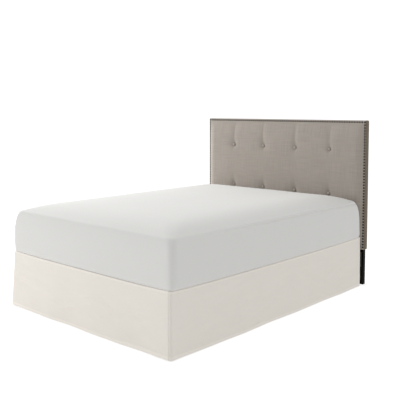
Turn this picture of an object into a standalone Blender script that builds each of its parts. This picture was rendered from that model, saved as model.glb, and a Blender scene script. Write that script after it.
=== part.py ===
"""Tailored bed skirt on a queen bed: deck cloth, three hanging drops, mattress, box spring, steel frame
and a button-tufted headboard. Metres, +Z up, origin on the floor under the middle of the whole bed.
The foot of the bed is at -Y and the headboard at +Y."""

import math

import bpy

# ---- Driving dimensions -------------------------------------------------------------------------
BED_WIDTH = 1.524
BED_LENGTH = 2.032
DROP = 0.381
GAP = 0.0003

CLOTH_THICK = 0.0015
ROLL_RADIUS = 0.008
CORNER_RADIUS = 0.016
FOOT_SAG = 0.008
SIDE_SAG = 0.010
DROOP_REACH = 0.025
SEAM_GAP = 0.0008
HEM_AT_CORNER = 0.008
HEM_AT_MIDDLE = 0.0025
FLARE_LEFT_CORNER = 0.0170
FLARE_RIGHT_CORNER = 0.0100
FLARE_HEAD_END = 0.0030

HEADBOARD_WIDTH = 1.574
HEADBOARD_BOTTOM = 0.280
HEADBOARD_TOP = 1.264
HEADBOARD_THICK = 0.054
HEADBOARD_BEHIND_SKIRT = 0.012
PAD_CROWN = 0.020
PAD_ROLL = 0.075
BORDER = 0.013
BUTTON_SPACING = 0.320
BUTTON_ROWS = (0.689, 1.0385)
BUTTON_RADIUS = 0.0125
DIMPLE_DEPTH = 0.008
DIMPLE_FLAT = 0.023
DIMPLE_SLOPE = 0.050
PAD_ROLL_POWER = 2.2
BOARD_CHAMFER = 0.003
BOARD_EDGE_ROUND = 0.005
BUTTON_GRID_OFFSET = 0.016
BOARD_GRID_SPACING = 0.070

LEG_DEPTH = 0.0317
LEG_WIDTH = 0.045
LEG_OUTER_X = 0.755
LEG_TOP = 0.900

MATTRESS_HALF_WIDTH = 0.771
MATTRESS_FOOT_OVERHANG = -0.001
BED_HEAD_SHORT = 0.011
MATTRESS_WIDEST = 0.455
MATTRESS_TOP = 0.712
MATTRESS_POWER = 5.0
MATTRESS_CORNER = 0.040
MATTRESS_CLEAR = 0.0006
MATTRESS_FOLLOWS = 0.80
MATTRESS_FOLLOWS_TO = 0.013
MATTRESS_FOLLOWS_FADE = 0.030
MATTRESS_LEAST_CORNER = 0.006
MATTRESS_FOOT_ROUND = (
    (0.046, 0.0), (0.037, 0.0), (0.030, 0.0), (0.024, 0.0),
    (0.016, 0.001), (0.009, 0.005), (0.005, 0.013), (0.002, 0.032),
)

BOX_SPRING_INSET = 0.010
BOX_SPRING_BEVEL = 0.024
BOX_SPRING_CLEAR = 0.002
BOX_SPRING_LOWER_BEVEL = 0.008
BOX_SPRING_CORNER = 0.030
RAIL_TOP = 0.1745
RAIL_HEIGHT = 0.038
RAIL_WIDTH = 0.025
RAIL_CENTRE_X = 0.725
CROSS_BAR_Y = (-0.900, 0.0, 0.860)
FOOT_RADIUS = 0.022
POST_RADIUS = 0.015
FOOT_RIM = 0.010
FOOT_SHOULDER = 0.018
RAIL_FOOT_SHORT = 0.040
BRACKET_THICK = 0.004
BRACKET_OVERLAP = 0.090
BRACKET_TOP = 0.250
BRACKET_CLEAR = 0.003

# ---- How the cloth of the drops swings outwards: (place along, height, width) of each soft bump ------
FOOT_WAVES = ((0.03, -0.002, 0.03), (0.28, 0.005, 0.07), (0.43, -0.003, 0.06), (0.60, 0.005, 0.08),
              (0.73, 0.003, 0.05), (0.86, -0.003, 0.06))
RIGHT_WAVES = ((0.04, -0.002, 0.03), (0.16, 0.001, 0.05), (0.30, 0.0045, 0.07), (0.48, -0.002, 0.06),
               (0.58, 0.0035, 0.05), (0.77, -0.003, 0.06), (0.89, 0.003, 0.03))
LEFT_WAVES = ((0.05, -0.002, 0.03), (0.21, 0.004, 0.07), (0.37, -0.003, 0.06), (0.55, 0.005, 0.08),
              (0.72, -0.002, 0.05), (0.86, 0.0035, 0.06))
FOOT_COLUMNS = 33
SIDE_COLUMNS = 38
CORNER_STEPS = 4
DECK_NEAR_EDGE = (0.0, 0.006, 0.013, 0.026)


def smoothstep(value):
    value = min(max(value, 0.0), 1.0)
    return value * value * (3 - 2 * value)


def lerp(start, end, share):
    return start + (end - start) * share


def wave(waves, along, down):
    """A row of soft bumps that grow from nothing at the top to their full height at the hem."""
    swing = sum(height * math.exp(-(((along - place) / width) ** 2)) for place, height, width in waves)
    return swing * down**1.5


def flare(down):
    return down**1.3


def foot_stand_off(along, down):
    """How far the foot drop hangs out from the edge of the bed, from its left end to its right end."""
    bumps = wave(FOOT_WAVES, along, down) * min(1.0, 12 * along * (1 - along))
    return lerp(FLARE_LEFT_CORNER, FLARE_RIGHT_CORNER, along) * flare(down) + bumps


def hem_height(along):
    return lerp(HEM_AT_MIDDLE, HEM_AT_CORNER, (2 * along - 1) ** 4)


# ---- Places worked out from the dimensions --------------------------------------------------------------
FOOT_REACH = max(foot_stand_off(k / (FOOT_COLUMNS - 1), 1.0) for k in range(FOOT_COLUMNS))
OVERALL_LENGTH = FOOT_REACH + BED_LENGTH + HEADBOARD_BEHIND_SKIRT + HEADBOARD_THICK + GAP + LEG_DEPTH
HALF_WIDTH = BED_WIDTH / 2
Y_FOOT = FOOT_REACH - OVERALL_LENGTH / 2
Y_HEAD = Y_FOOT + BED_LENGTH
Y_MIDDLE = (Y_FOOT + Y_HEAD) / 2
Y_BED_HEAD = Y_HEAD - BED_HEAD_SHORT
Y_BOARD_FRONT = Y_HEAD + HEADBOARD_BEHIND_SKIRT
Y_BOARD_BACK = Y_BOARD_FRONT + HEADBOARD_THICK


# ---- Helpers --------------------------------------------------------------------------------------
def clear_scene():
    for old in list(bpy.data.objects):
        bpy.data.objects.remove(old, do_unlink=True)


def make_material(name, colour, roughness):
    material = bpy.data.materials.new(name)
    material.use_nodes = True
    shader = material.node_tree.nodes["Principled BSDF"]
    shader.inputs["Base Color"].default_value = (*colour, 1.0)
    shader.inputs["Roughness"].default_value = roughness
    return material


def make_object(name, points, faces, material, smooth=True):
    mesh = bpy.data.meshes.new(name)
    mesh.from_pydata(points, [], faces)
    mesh.materials.append(material)
    if smooth:
        mesh.shade_smooth()
    obj = bpy.data.objects.new(name, mesh)
    bpy.context.scene.collection.objects.link(obj)
    return obj


def grid_faces(rows, columns):
    faces = []
    for i in range(rows - 1):
        for j in range(columns - 1):
            a = i * columns + j
            faces.append((a, a + 1, a + columns + 1, a + columns))
    return faces


def thicken(obj, thickness):
    solid = obj.modifiers.new("cloth thickness", "SOLIDIFY")
    solid.thickness = thickness
    solid.offset = -1.0


def box(name, low, high, material):
    (x0, y0, z0), (x1, y1, z1) = low, high
    points = [(x, y, z) for z in (z0, z1) for y in (y0, y1) for x in (x0, x1)]
    faces = [(0, 2, 3, 1), (4, 5, 7, 6), (0, 1, 5, 4), (2, 6, 7, 3), (0, 4, 6, 2), (1, 3, 7, 5)]
    return make_object(name, points, faces, material, smooth=False)


def loft(name, rings, material):
    """Joins closed rings, given from the bottom up and anticlockwise from above, and closes both ends."""
    count = len(rings[0])
    points = [p for ring in rings for p in ring]
    faces = []
    for k in range(len(rings) - 1):
        for i in range(count):
            j = (i + 1) % count
            faces.append((k * count + i, k * count + j, (k + 1) * count + j, (k + 1) * count + i))
    for start, ring, flip in ((0, rings[0], True), ((len(rings) - 1) * count, rings[-1], False)):
        points.append(tuple(sum(p[axis] for p in ring) / count for axis in range(3)))
        middle = len(points) - 1
        for i in range(count):
            j = (i + 1) % count
            faces.append((start + j, start + i, middle) if flip else (start + i, start + j, middle))
    return make_object(name, points, faces, material)


def rounded_rectangle(half_x, y_low, y_high, radius, arc_steps=4, side_steps=(9, 12)):
    """Anticlockwise outline: four quarter circles, with evenly spaced points along the straights."""
    outline = []
    corners = (
        (half_x - radius, y_high - radius, 0),
        (-half_x + radius, y_high - radius, 90),
        (-half_x + radius, y_low + radius, 180),
        (half_x - radius, y_low + radius, 270),
    )
    for index, (cx, cy, start) in enumerate(corners):
        for step in range(arc_steps + 1):
            angle = math.radians(start + 90 * step / arc_steps)
            outline.append((cx + radius * math.cos(angle), cy + radius * math.sin(angle)))
        nx, ny, nstart = corners[(index + 1) % 4]
        angle = math.radians(nstart)
        end = (nx + radius * math.cos(angle), ny + radius * math.sin(angle))
        steps = side_steps[index % 2]
        begin = outline[-1]
        for step in range(1, steps):
            outline.append((lerp(begin[0], end[0], step / steps), lerp(begin[1], end[1], step / steps)))
    return outline


# ---- How the top edge of the skirt droops over the box spring ----------------------------------------
def foot_sag(x):
    return FOOT_SAG * max(0.0, 1 - (x / HALF_WIDTH) ** 4)


def side_sag(y):
    return SIDE_SAG * max(0.0, 1 - ((y - Y_MIDDLE) / (BED_LENGTH / 2)) ** 4)


def droop(x, y):
    """How far the deck lies below its middle height: all the sag at the seam, none further in."""
    near_foot = 1 - smoothstep((y - Y_FOOT - ROLL_RADIUS) / DROOP_REACH)
    near_side = 1 - smoothstep((HALF_WIDTH - abs(x) - ROLL_RADIUS) / DROOP_REACH)
    return foot_sag(x) * near_foot + side_sag(y) * near_side


# ---- The three drops ------------------------------------------------------------------------------------
ROLL_STEPS = 3
FALL_SHARES = (0.0, 0.16, 0.34, 0.52, 0.70, 0.86, 1.0)


def section(top, hem):
    """The cloth's outer face from the seam to the hem, as (inset, height, share of the fall)."""
    stations = []
    for step in range(ROLL_STEPS + 1):
        angle = math.pi / 2 * step / ROLL_STEPS
        inset = ROLL_RADIUS * (1 - math.sin(angle))
        stations.append((inset, top - ROLL_RADIUS * (1 - math.cos(angle)), 0.0))
    start = top - ROLL_RADIUS
    for share in FALL_SHARES[1:]:
        stations.append((0.0, lerp(start, hem, share), share))
    return stations


def foot_drop(material):
    points = []
    for i in range(FOOT_COLUMNS):
        along = i / (FOOT_COLUMNS - 1)
        x_top = lerp(-HALF_WIDTH, HALF_WIDTH, along)
        for inset, z, down in section(DROP - foot_sag(x_top), hem_height(along)):
            left = HALF_WIDTH - CORNER_RADIUS - SEAM_GAP + FLARE_LEFT_CORNER * flare(down)
            right = HALF_WIDTH - CORNER_RADIUS - SEAM_GAP + FLARE_RIGHT_CORNER * flare(down)
            y = Y_FOOT + inset - foot_stand_off(along, down)
            points.append((lerp(-left, right, along), y, z))
    rows = len(points) // FOOT_COLUMNS
    drop = make_object("foot_drop", points, grid_faces(FOOT_COLUMNS, rows), material)
    thicken(drop, CLOTH_THICK)


def side_drop(name, side, corner_flare, waves, material):
    """side is 1 for +X and -1 for -X. The cloth runs from the head, turns the foot corner and stops there."""
    columns = []
    for i in range(SIDE_COLUMNS):
        columns.append((i / (SIDE_COLUMNS - 1), 0.0))
    for step in range(1, CORNER_STEPS + 1):
        columns.append((1.0, math.pi / 2 * step / CORNER_STEPS))
    points = []
    for along, angle in columns:
        y_top = lerp(Y_HEAD, Y_FOOT + CORNER_RADIUS, along)
        x_top = HALF_WIDTH - CORNER_RADIUS * (1 - math.cos(angle))
        from_foot = 1 - along
        hem = hem_height(from_foot)
        for inset, z, down in section(DROP - side_sag(y_top) - foot_sag(x_top), hem):
            spread = corner_flare * flare(down)
            centre_x = HALF_WIDTH - CORNER_RADIUS + spread
            centre_y = Y_FOOT + CORNER_RADIUS - spread
            stand_off = lerp(FLARE_HEAD_END, corner_flare, along) * flare(down) - spread
            stand_off += wave(waves, from_foot, down) * min(1.0, 25 * from_foot)
            reach = CORNER_RADIUS - inset
            x = centre_x + reach * math.cos(angle) + stand_off
            y = lerp(Y_HEAD, centre_y, along) - reach * math.sin(angle)
            points.append((side * x, y, z))
    rows = len(points) // len(columns)
    faces = grid_faces(len(columns), rows)
    if side > 0:
        faces = [f[::-1] for f in faces]
    drop = make_object(name, points, faces, material)
    thicken(drop, CLOTH_THICK)


def deck(material):
    """The flat cloth between mattress and box spring, its edges following the droop to the seams."""
    edge_x = HALF_WIDTH - ROLL_RADIUS - SEAM_GAP
    edge_foot = Y_FOOT + ROLL_RADIUS + SEAM_GAP
    xs = [-edge_x + d for d in DECK_NEAR_EDGE]
    xs += [lerp(-edge_x, edge_x, k / 10) for k in range(1, 10)]
    xs += [edge_x - d for d in reversed(DECK_NEAR_EDGE)]
    ys = [edge_foot + d for d in DECK_NEAR_EDGE]
    ys += [lerp(edge_foot, Y_BED_HEAD, k / 14) for k in range(1, 15)]
    pull = (CORNER_RADIUS - ROLL_RADIUS) * (1 - math.sqrt(0.5))
    points = []
    for x in xs:
        for y in ys:
            px, py = x, y
            if y == edge_foot and abs(x) == edge_x:
                px -= math.copysign(pull, x)
                py += pull
            points.append((px, py, DROP - droop(px, py)))
    cloth = make_object("deck", points, [f[::-1] for f in grid_faces(len(xs), len(ys))], material)
    thicken(cloth, CLOTH_THICK)


# ---- Mattress and box spring --------------------------------------------------------------------------
def mattress(material):
    """Mattress in its fitted sheet. The outline shrinks upwards along a superellipse: a crowned top."""
    y_low = Y_FOOT - MATTRESS_FOOT_OVERHANG
    y_high = Y_BED_HEAD
    y_centre = (y_low + y_high) / 2
    rings = []
    underside = DROP + MATTRESS_CLEAR
    for inset, height in MATTRESS_FOOT_ROUND:
        corner = max(MATTRESS_CORNER - inset, MATTRESS_LEAST_CORNER)
        outline = rounded_rectangle(MATTRESS_HALF_WIDTH - inset, y_low + inset, y_high - inset, corner)
        share = MATTRESS_FOLLOWS * (1 - smoothstep((height - MATTRESS_FOLLOWS_TO) / MATTRESS_FOLLOWS_FADE))
        rings.append([(x, y, underside + height - share * droop(x, y)) for x, y in outline])
    outline = rounded_rectangle(MATTRESS_HALF_WIDTH, y_low, y_high, MATTRESS_CORNER)
    for degrees in (0, 17, 32, 45, 56, 66, 75, 82, 86.5, 89):
        angle = math.radians(degrees)
        shrink = math.cos(angle) ** (2 / MATTRESS_POWER)
        z = lerp(MATTRESS_WIDEST, MATTRESS_TOP, math.sin(angle) ** (2 / MATTRESS_POWER))
        rings.append([(x * shrink, y_centre + (y - y_centre) * shrink, z) for x, y in outline])
    loft("mattress", rings, material)


def box_spring(material):
    top = DROP - CLOTH_THICK - BOX_SPRING_CLEAR
    bottom = RAIL_TOP + GAP
    half_x = HALF_WIDTH - BOX_SPRING_INSET
    y_low = Y_FOOT + BOX_SPRING_INSET
    y_high = Y_BED_HEAD
    bevel = BOX_SPRING_BEVEL
    rings = []
    lower = BOX_SPRING_LOWER_BEVEL
    heights = [(lower, bottom), (0.0, bottom + lower), (0.0, top - bevel)]
    for degrees in (30, 60, 90):
        angle = math.radians(degrees)
        heights.append((bevel * (1 - math.cos(angle)), top - bevel * (1 - math.sin(angle))))
    for inset, z in heights:
        corner = BOX_SPRING_CORNER - inset
        outline = rounded_rectangle(half_x - inset, y_low + inset, y_high - inset, corner, 3, (2, 2))
        rings.append([(x, y, z) for x, y in outline])
    loft("box_spring", rings, material)


# ---- Headboard --------------------------------------------------------------------------------------------
def button_places():
    return [(BUTTON_SPACING * (k - 1.5), z) for z in BUTTON_ROWS for k in range(4)]


def pad_height(x, z):
    """How far the padded front stands before the plane of its edge, before the buttons pull it in."""
    from_side = HEADBOARD_WIDTH / 2 - abs(x) - BORDER
    from_end = min(z - HEADBOARD_BOTTOM, HEADBOARD_TOP - z) - BORDER
    rise = 1.0
    for distance in (from_side, from_end):
        share = min(max(distance / PAD_ROLL, 0.0), 1.0)
        rise *= 1 - (1 - share) ** PAD_ROLL_POWER
    return PAD_CROWN * rise


def pull_in(x, z):
    depth = 0.0
    for bx, bz in button_places():
        distance = math.hypot(x - bx, z - bz)
        depth = max(depth, DIMPLE_DEPTH * (1 - smoothstep((distance - DIMPLE_FLAT) / DIMPLE_SLOPE)))
    return depth


def stations(low, high, marks, near_edge, spacing):
    """Grid lines from low to high: close together at both edges and round each mark, even between."""
    fixed = sorted([low + d for d in near_edge] + [high - d for d in near_edge]
                   + [m + d for m in marks for d in (-BUTTON_GRID_OFFSET, 0.0, BUTTON_GRID_OFFSET)])
    lines = [fixed[0]]
    for value in fixed[1:]:
        steps = max(1, round((value - lines[-1]) / spacing))
        begin = lines[-1]
        lines += [lerp(begin, value, k / steps) for k in range(1, steps + 1)]
    return lines


def headboard(material):
    half = HEADBOARD_WIDTH / 2
    near_edge = (0.0, 0.006, BORDER, BORDER + 0.010, BORDER + 0.028, BORDER + PAD_ROLL)
    button_columns = [place[0] for place in button_places()[:4]]
    xs = stations(-half, half, button_columns, near_edge, BOARD_GRID_SPACING)
    zs = stations(HEADBOARD_BOTTOM, HEADBOARD_TOP, BUTTON_ROWS, near_edge, BOARD_GRID_SPACING)
    points = []
    for x in xs:
        for z in zs:
            on_side = x in (xs[0], xs[-1])
            on_end = z in (zs[0], zs[-1])
            y = Y_BOARD_FRONT - pad_height(x, z) + pull_in(x, z)
            px, pz = x, z
            if on_side or on_end:
                y = Y_BOARD_FRONT + BOARD_EDGE_ROUND
            if on_side and on_end:
                px -= math.copysign(BOARD_CHAMFER, x)
                pz += BOARD_CHAMFER if z == zs[0] else -BOARD_CHAMFER
            points.append((px, y, pz))
    rows = len(zs)
    faces = [f[::-1] for f in grid_faces(len(xs), rows)]
    rim = [i * rows for i in range(len(xs))]
    rim += [(len(xs) - 1) * rows + j for j in range(1, rows)]
    rim += [i * rows + rows - 1 for i in range(len(xs) - 2, -1, -1)]
    rim += [j for j in range(rows - 2, 0, -1)]
    back = len(points)
    points += [(points[k][0], Y_BOARD_BACK, points[k][2]) for k in rim]
    centre = len(points)
    points.append((0.0, Y_BOARD_BACK, (HEADBOARD_BOTTOM + HEADBOARD_TOP) / 2))
    for i, front in enumerate(rim):
        j = (i + 1) % len(rim)
        faces.append((front, back + i, back + j, rim[j]))
        faces.append((back + i, centre, back + j))
    make_object("headboard", points, faces, material)


def buttons(material):
    """Covered buttons: low domes whose flat backs stand just off the bottom of each dimple."""
    profile = ((0.85, 0.0), (1.0, 0.002), (0.85, 0.0055), (0.45, 0.0075))
    sides = 12
    for number, (bx, bz) in enumerate(button_places(), start=1):
        seat = Y_BOARD_FRONT - pad_height(bx, bz) + DIMPLE_DEPTH - GAP
        rings = []
        for width, height in profile:
            ring = []
            for k in range(sides):
                angle = -2 * math.pi * k / sides
                x = bx + BUTTON_RADIUS * width * math.cos(angle)
                z = bz + BUTTON_RADIUS * width * math.sin(angle)
                ring.append((x, seat - height, z))
            rings.append(ring)
        loft(f"button_{number}", [ring[::-1] for ring in rings], material)


# ---- Frame that carries the bed ----------------------------------------------------------------------------
def headboard_legs(material):
    y0 = Y_BOARD_BACK + GAP
    for name, side in (("headboard_leg_left", -1), ("headboard_leg_right", 1)):
        low_x, high_x = sorted((side * LEG_OUTER_X, side * (LEG_OUTER_X - LEG_WIDTH)))
        box(name, (low_x, y0, 0.0), (high_x, y0 + LEG_DEPTH, LEG_TOP), material)


def brackets(material):
    """Steel plates from each side rail's end to the headboard's legs, stepped to pass the box spring."""
    clear = Y_BED_HEAD + BRACKET_CLEAR
    y0 = clear - BRACKET_OVERLAP
    y1 = Y_BOARD_BACK
    low = RAIL_TOP - RAIL_HEIGHT
    profile = [(y0, low), (y1, low), (y1, BRACKET_TOP)]
    profile += [(clear, BRACKET_TOP), (clear, RAIL_TOP), (y0, RAIL_TOP)]
    inner = RAIL_CENTRE_X + RAIL_WIDTH / 2 + GAP
    outer = inner + BRACKET_THICK
    for name, side in (("bracket_left", -1), ("bracket_right", 1)):
        points = [(side * x, y, z) for x in (inner, outer) for y, z in profile]
        count = len(profile)
        faces = [(3, 2, 1, 4), (4, 1, 0, 5)]
        faces += [tuple(k + count for k in reversed(f)) for f in faces]
        for i in range(count):
            j = (i + 1) % count
            faces.append((i, j, j + count, i + count))
        if side < 0:
            faces = [f[::-1] for f in faces]
        make_object(name, points, faces, material, smooth=False)


def rails(material):
    low = RAIL_TOP - RAIL_HEIGHT
    y_low = Y_FOOT + RAIL_FOOT_SHORT
    y_high = Y_BED_HEAD
    half = RAIL_WIDTH / 2
    for name, side in (("side_rail_left", -1), ("side_rail_right", 1)):
        x = side * RAIL_CENTRE_X
        box(name, (x - half, y_low, low), (x + half, y_high, RAIL_TOP), material)
    reach = RAIL_CENTRE_X - half - GAP
    for number, y in enumerate(CROSS_BAR_Y, start=1):
        box(f"cross_bar_{number}", (-reach, y - half, low), (reach, y + half, RAIL_TOP), material)


def frame_legs(material):
    """Round steel legs under the rails, each widening to a flat foot on the floor."""
    top = RAIL_TOP - RAIL_HEIGHT - GAP
    profile = ((FOOT_RADIUS, 0.0), (FOOT_RADIUS, FOOT_RIM), (POST_RADIUS, FOOT_SHOULDER), (POST_RADIUS, top))
    places = [(side * RAIL_CENTRE_X, y) for y in CROSS_BAR_Y for side in (-1, 1)] + [(0.0, 0.0)]
    sides = 12
    for number, (cx, cy) in enumerate(places, start=1):
        rings = []
        for radius, z in profile:
            angles = [2 * math.pi * k / sides for k in range(sides)]
            rings.append([(cx + radius * math.cos(a), cy + radius * math.sin(a), z) for a in angles])
        loft(f"frame_leg_{number}", rings, material)


def main():
    clear_scene()
    skirt_cloth = make_material("skirt cloth", (0.80, 0.74, 0.66), 0.85)
    deck_cloth = make_material("deck cloth", (0.86, 0.84, 0.80), 0.90)
    sheet_cloth = make_material("sheet cloth", (0.80, 0.80, 0.79), 0.85)
    ticking = make_material("ticking", (0.78, 0.76, 0.72), 0.90)
    linen = make_material("linen", (0.36, 0.32, 0.27), 0.90)
    black_paint = make_material("black paint", (0.02, 0.02, 0.02), 0.45)
    frame_steel = make_material("frame steel", (0.05, 0.05, 0.045), 0.40)
    deck(deck_cloth)
    foot_drop(skirt_cloth)
    side_drop("left_drop", -1, FLARE_LEFT_CORNER, LEFT_WAVES, skirt_cloth)
    side_drop("right_drop", 1, FLARE_RIGHT_CORNER, RIGHT_WAVES, skirt_cloth)
    mattress(sheet_cloth)
    box_spring(ticking)
    headboard(linen)
    buttons(linen)
    headboard_legs(black_paint)
    brackets(frame_steel)
    rails(frame_steel)
    frame_legs(frame_steel)


main()
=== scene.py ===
# %% [markdown]
# # A tailored bed skirt on a queen bed
# A bed skirt is one thin deck cloth under the mattress and three straight drops that hang from its edge to
# the floor. It keeps its neat look because the drops are seamed at the foot corners and weighted by a
# turned hem. This lesson builds it on its bed: each piece is a surface worked out on a grid of two
# parameters.

# %% Load the frame
import math

import bpy
import numpy as np
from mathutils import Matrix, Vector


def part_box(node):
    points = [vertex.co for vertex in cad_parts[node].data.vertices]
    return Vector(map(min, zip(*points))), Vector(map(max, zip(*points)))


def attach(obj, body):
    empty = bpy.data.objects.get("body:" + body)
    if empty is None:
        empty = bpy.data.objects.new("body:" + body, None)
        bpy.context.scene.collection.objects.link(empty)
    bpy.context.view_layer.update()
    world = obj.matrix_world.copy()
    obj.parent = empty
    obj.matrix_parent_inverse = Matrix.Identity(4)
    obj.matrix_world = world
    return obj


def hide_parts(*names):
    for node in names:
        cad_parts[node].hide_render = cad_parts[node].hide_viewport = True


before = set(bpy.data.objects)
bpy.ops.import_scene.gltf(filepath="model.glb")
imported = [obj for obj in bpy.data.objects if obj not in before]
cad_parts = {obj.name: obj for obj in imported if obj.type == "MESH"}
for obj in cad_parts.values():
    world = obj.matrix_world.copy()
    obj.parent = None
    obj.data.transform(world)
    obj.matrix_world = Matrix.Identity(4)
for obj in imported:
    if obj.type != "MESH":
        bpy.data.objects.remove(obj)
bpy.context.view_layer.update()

# %% [markdown]
# ## Measures
# Everything is in metres. The foot of the bed is at -Y and the headboard at +Y. The places come from the
# frame's own solids, and the cloth sizes are those of a standard queen bed.

# %% Places on the bed
BED_WIDTH, BED_LENGTH, DROP = 1.524, 2.032, 0.381
HALF_WIDTH = BED_WIDTH / 2
Y_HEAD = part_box("right_drop")[1].y
Y_FOOT = Y_HEAD - BED_LENGTH
Y_MIDDLE = (Y_HEAD + Y_FOOT) / 2
Y_BED_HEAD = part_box("mattress")[1].y
BOARD_LOW, BOARD_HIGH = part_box("headboard")
PAD_CROWN = 0.028
Y_BOARD_FRONT = BOARD_LOW.y + PAD_CROWN
print("foot", round(Y_FOOT, 4), "head", round(Y_HEAD, 4), "board front", round(Y_BOARD_FRONT, 4))


# %% [markdown]
# ## Small helpers
# A smooth step eases one shape into another. A grid of points becomes faces by joining each point to its
# neighbours. Doing this on whole arrays is much faster than adding one vertex at a time.

# %% Easing and grids
def mix(start, end, share):
    """start plus the share of the way to end."""
    return start + (end - start) * share


def ease(value):
    """3t^2 - 2t^3 for t held between 0 and 1: flat at both ends."""
    held = np.clip(value, 0.0, 1.0)
    return held * held * (3 - 2 * held)


def grid_quads(rows, columns, ring=False):
    """Face (i, j) joins point (i, j) to its next neighbours. On a ring the last column meets the first."""
    i, j = np.meshgrid(np.arange(rows - 1), np.arange(columns if ring else columns - 1), indexing="ij")
    k = (j + 1) % columns
    corners = (i * columns + j, i * columns + k, (i + 1) * columns + k, (i + 1) * columns + j)
    return np.stack(corners, -1).reshape(-1, 4)


def push_out(points, amount, ring=False):
    """Moves each point by amount along the surface normal, the cross product of the grid's two slopes."""
    if ring:
        across = np.roll(points, -1, 1) - np.roll(points, 1, 1)
    else:
        across = np.gradient(points, axis=1)
    normal = np.cross(across, np.gradient(points, axis=0))
    normal /= np.maximum(np.linalg.norm(normal, axis=-1, keepdims=True), 1e-12)
    return points + normal * amount[..., None]


# %% From arrays to a piece
def make_piece(name, points, faces, material, uv=None):
    """A smooth-shaded mesh object at the origin, riding on the bed. uv is each point's place on its cloth."""
    mesh = bpy.data.meshes.new(name)
    mesh.from_pydata(np.asarray(points).reshape(-1, 3), [], [tuple(f) for f in faces])
    mesh.materials.append(material)
    mesh.shade_smooth()
    if uv is not None:
        corner = np.zeros(len(mesh.loops), np.int32)
        mesh.loops.foreach_get("vertex_index", corner)
        mesh.uv_layers.new(name="cloth").data.foreach_set("uv", np.asarray(uv).reshape(-1, 2)[corner].ravel())
    piece = bpy.data.objects.new(name, mesh)
    bpy.context.scene.collection.objects.link(piece)
    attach(piece, "root")
    return piece


def give_thickness(piece, thickness):
    """Solidify against the normals, so that the outer face stays where the grid put it."""
    solid = piece.modifiers.new("cloth thickness", "SOLIDIFY")
    solid.thickness = thickness
    solid.offset = -1.0


# %% [markdown]
# ## Finishes
# Cloth is not one colour. Threads pass over and under each other, thicker threads leave streaks, and the
# dye takes a little unevenly. These effects are shared, so each is a node group with named inputs and
# outputs, and each material feeds it its own numbers.

# %% A short way to write nodes
def add_math(tree, operation, *values):
    """One Math node. A value is a number or another node's socket."""
    node = tree.nodes.new("ShaderNodeMath")
    node.operation = operation
    for socket, value in zip(node.inputs, values):
        if isinstance(value, (int, float)):
            socket.default_value = value
        else:
            tree.links.new(value, socket)
    return node.outputs[0]


def new_group(name, inputs, outputs):
    """A shader node group with the given input and output sockets, as (name, kind) pairs."""
    group = bpy.data.node_groups.new(name, "ShaderNodeTree")
    for label, kind in inputs:
        group.interface.new_socket(label, in_out="INPUT", socket_type=kind)
    for label, kind in outputs:
        group.interface.new_socket(label, in_out="OUTPUT", socket_type=kind)
    return group, group.nodes.new("NodeGroupInput").outputs, group.nodes.new("NodeGroupOutput").inputs


def add_noise(tree, vector, scale, stretch=(1, 1, 1), detail=2.0):
    """Noise read through a Mapping node, which stretches it into streaks."""
    mapping = tree.nodes.new("ShaderNodeMapping")
    mapping.inputs["Scale"].default_value = stretch
    tree.links.new(vector, mapping.inputs["Vector"])
    noise = tree.nodes.new("ShaderNodeTexNoise")
    noise.inputs["Scale"].default_value = scale
    noise.inputs["Detail"].default_value = detail
    tree.links.new(mapping.outputs[0], noise.inputs["Vector"])
    return noise.outputs["Fac"]


# %% Plain weave
FLOAT, VECTOR = "NodeSocketFloat", "NodeSocketVector"
SLUB_STRETCH = 30.0


def make_weave_group():
    """Height is |sin| across the thread on top: warp on one square of a checkerboard, weft on the next."""
    inputs = [("Place", VECTOR), ("Threads per metre", FLOAT), ("Slubs per metre", FLOAT)]
    group, given, result = new_group("plain weave", inputs, [("Height", FLOAT), ("Slub", FLOAT)])
    parts = group.nodes.new("ShaderNodeSeparateXYZ")
    group.links.new(given["Place"], parts.inputs[0])
    counts = [add_math(group, "MULTIPLY", parts.outputs[axis], given["Threads per metre"]) for axis in (0, 1)]
    ridges = [add_math(group, "ABSOLUTE", add_math(group, "SINE", add_math(group, "MULTIPLY", c, math.pi)))
              for c in counts]
    floors = [add_math(group, "FLOOR", c) for c in counts]
    warp_on_top = add_math(group, "FLOORED_MODULO", add_math(group, "ADD", *floors), 2.0)
    warp = add_math(group, "MULTIPLY", ridges[0], warp_on_top)
    weft = add_math(group, "MULTIPLY", ridges[1], add_math(group, "SUBTRACT", 1.0, warp_on_top))
    group.links.new(add_math(group, "ADD", warp, weft), result["Height"])
    close = given["Slubs per metre"]
    far = add_math(group, "DIVIDE", close, SLUB_STRETCH)
    streaks = []
    for scales in ((far, close), (close, far)):
        stretched = group.nodes.new("ShaderNodeCombineXYZ")
        for axis, scale in enumerate(scales):
            group.links.new(add_math(group, "MULTIPLY", parts.outputs[axis], scale), stretched.inputs[axis])
        streaks.append(add_noise(group, stretched.outputs[0], 1.0))
    group.links.new(add_math(group, "MULTIPLY", add_math(group, "ADD", *streaks), 0.5), result["Slub"])
    return group


def make_stitch_group():
    """A dashed line: 1 within half a thread's width of the row and within the first 70 % of each stitch."""
    group, given, result = new_group("stitch row", [("Along", FLOAT), ("Across", FLOAT), ("Row", FLOAT)],
                                     [("Mask", FLOAT)])
    stitch_length, half_width, filled = 0.0032, 0.0006, 0.7
    off_row = add_math(group, "ABSOLUTE", add_math(group, "SUBTRACT", given["Across"], given["Row"]))
    on_row = add_math(group, "LESS_THAN", off_row, half_width)
    phase = add_math(group, "FRACT", add_math(group, "DIVIDE", given["Along"], stitch_length))
    on_thread = add_math(group, "LESS_THAN", phase, filled)
    group.links.new(add_math(group, "MULTIPLY", on_row, on_thread), result["Mask"])
    return group


WEAVE, STITCH = make_weave_group(), make_stitch_group()
print("node groups", [g.name for g in bpy.data.node_groups])


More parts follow.
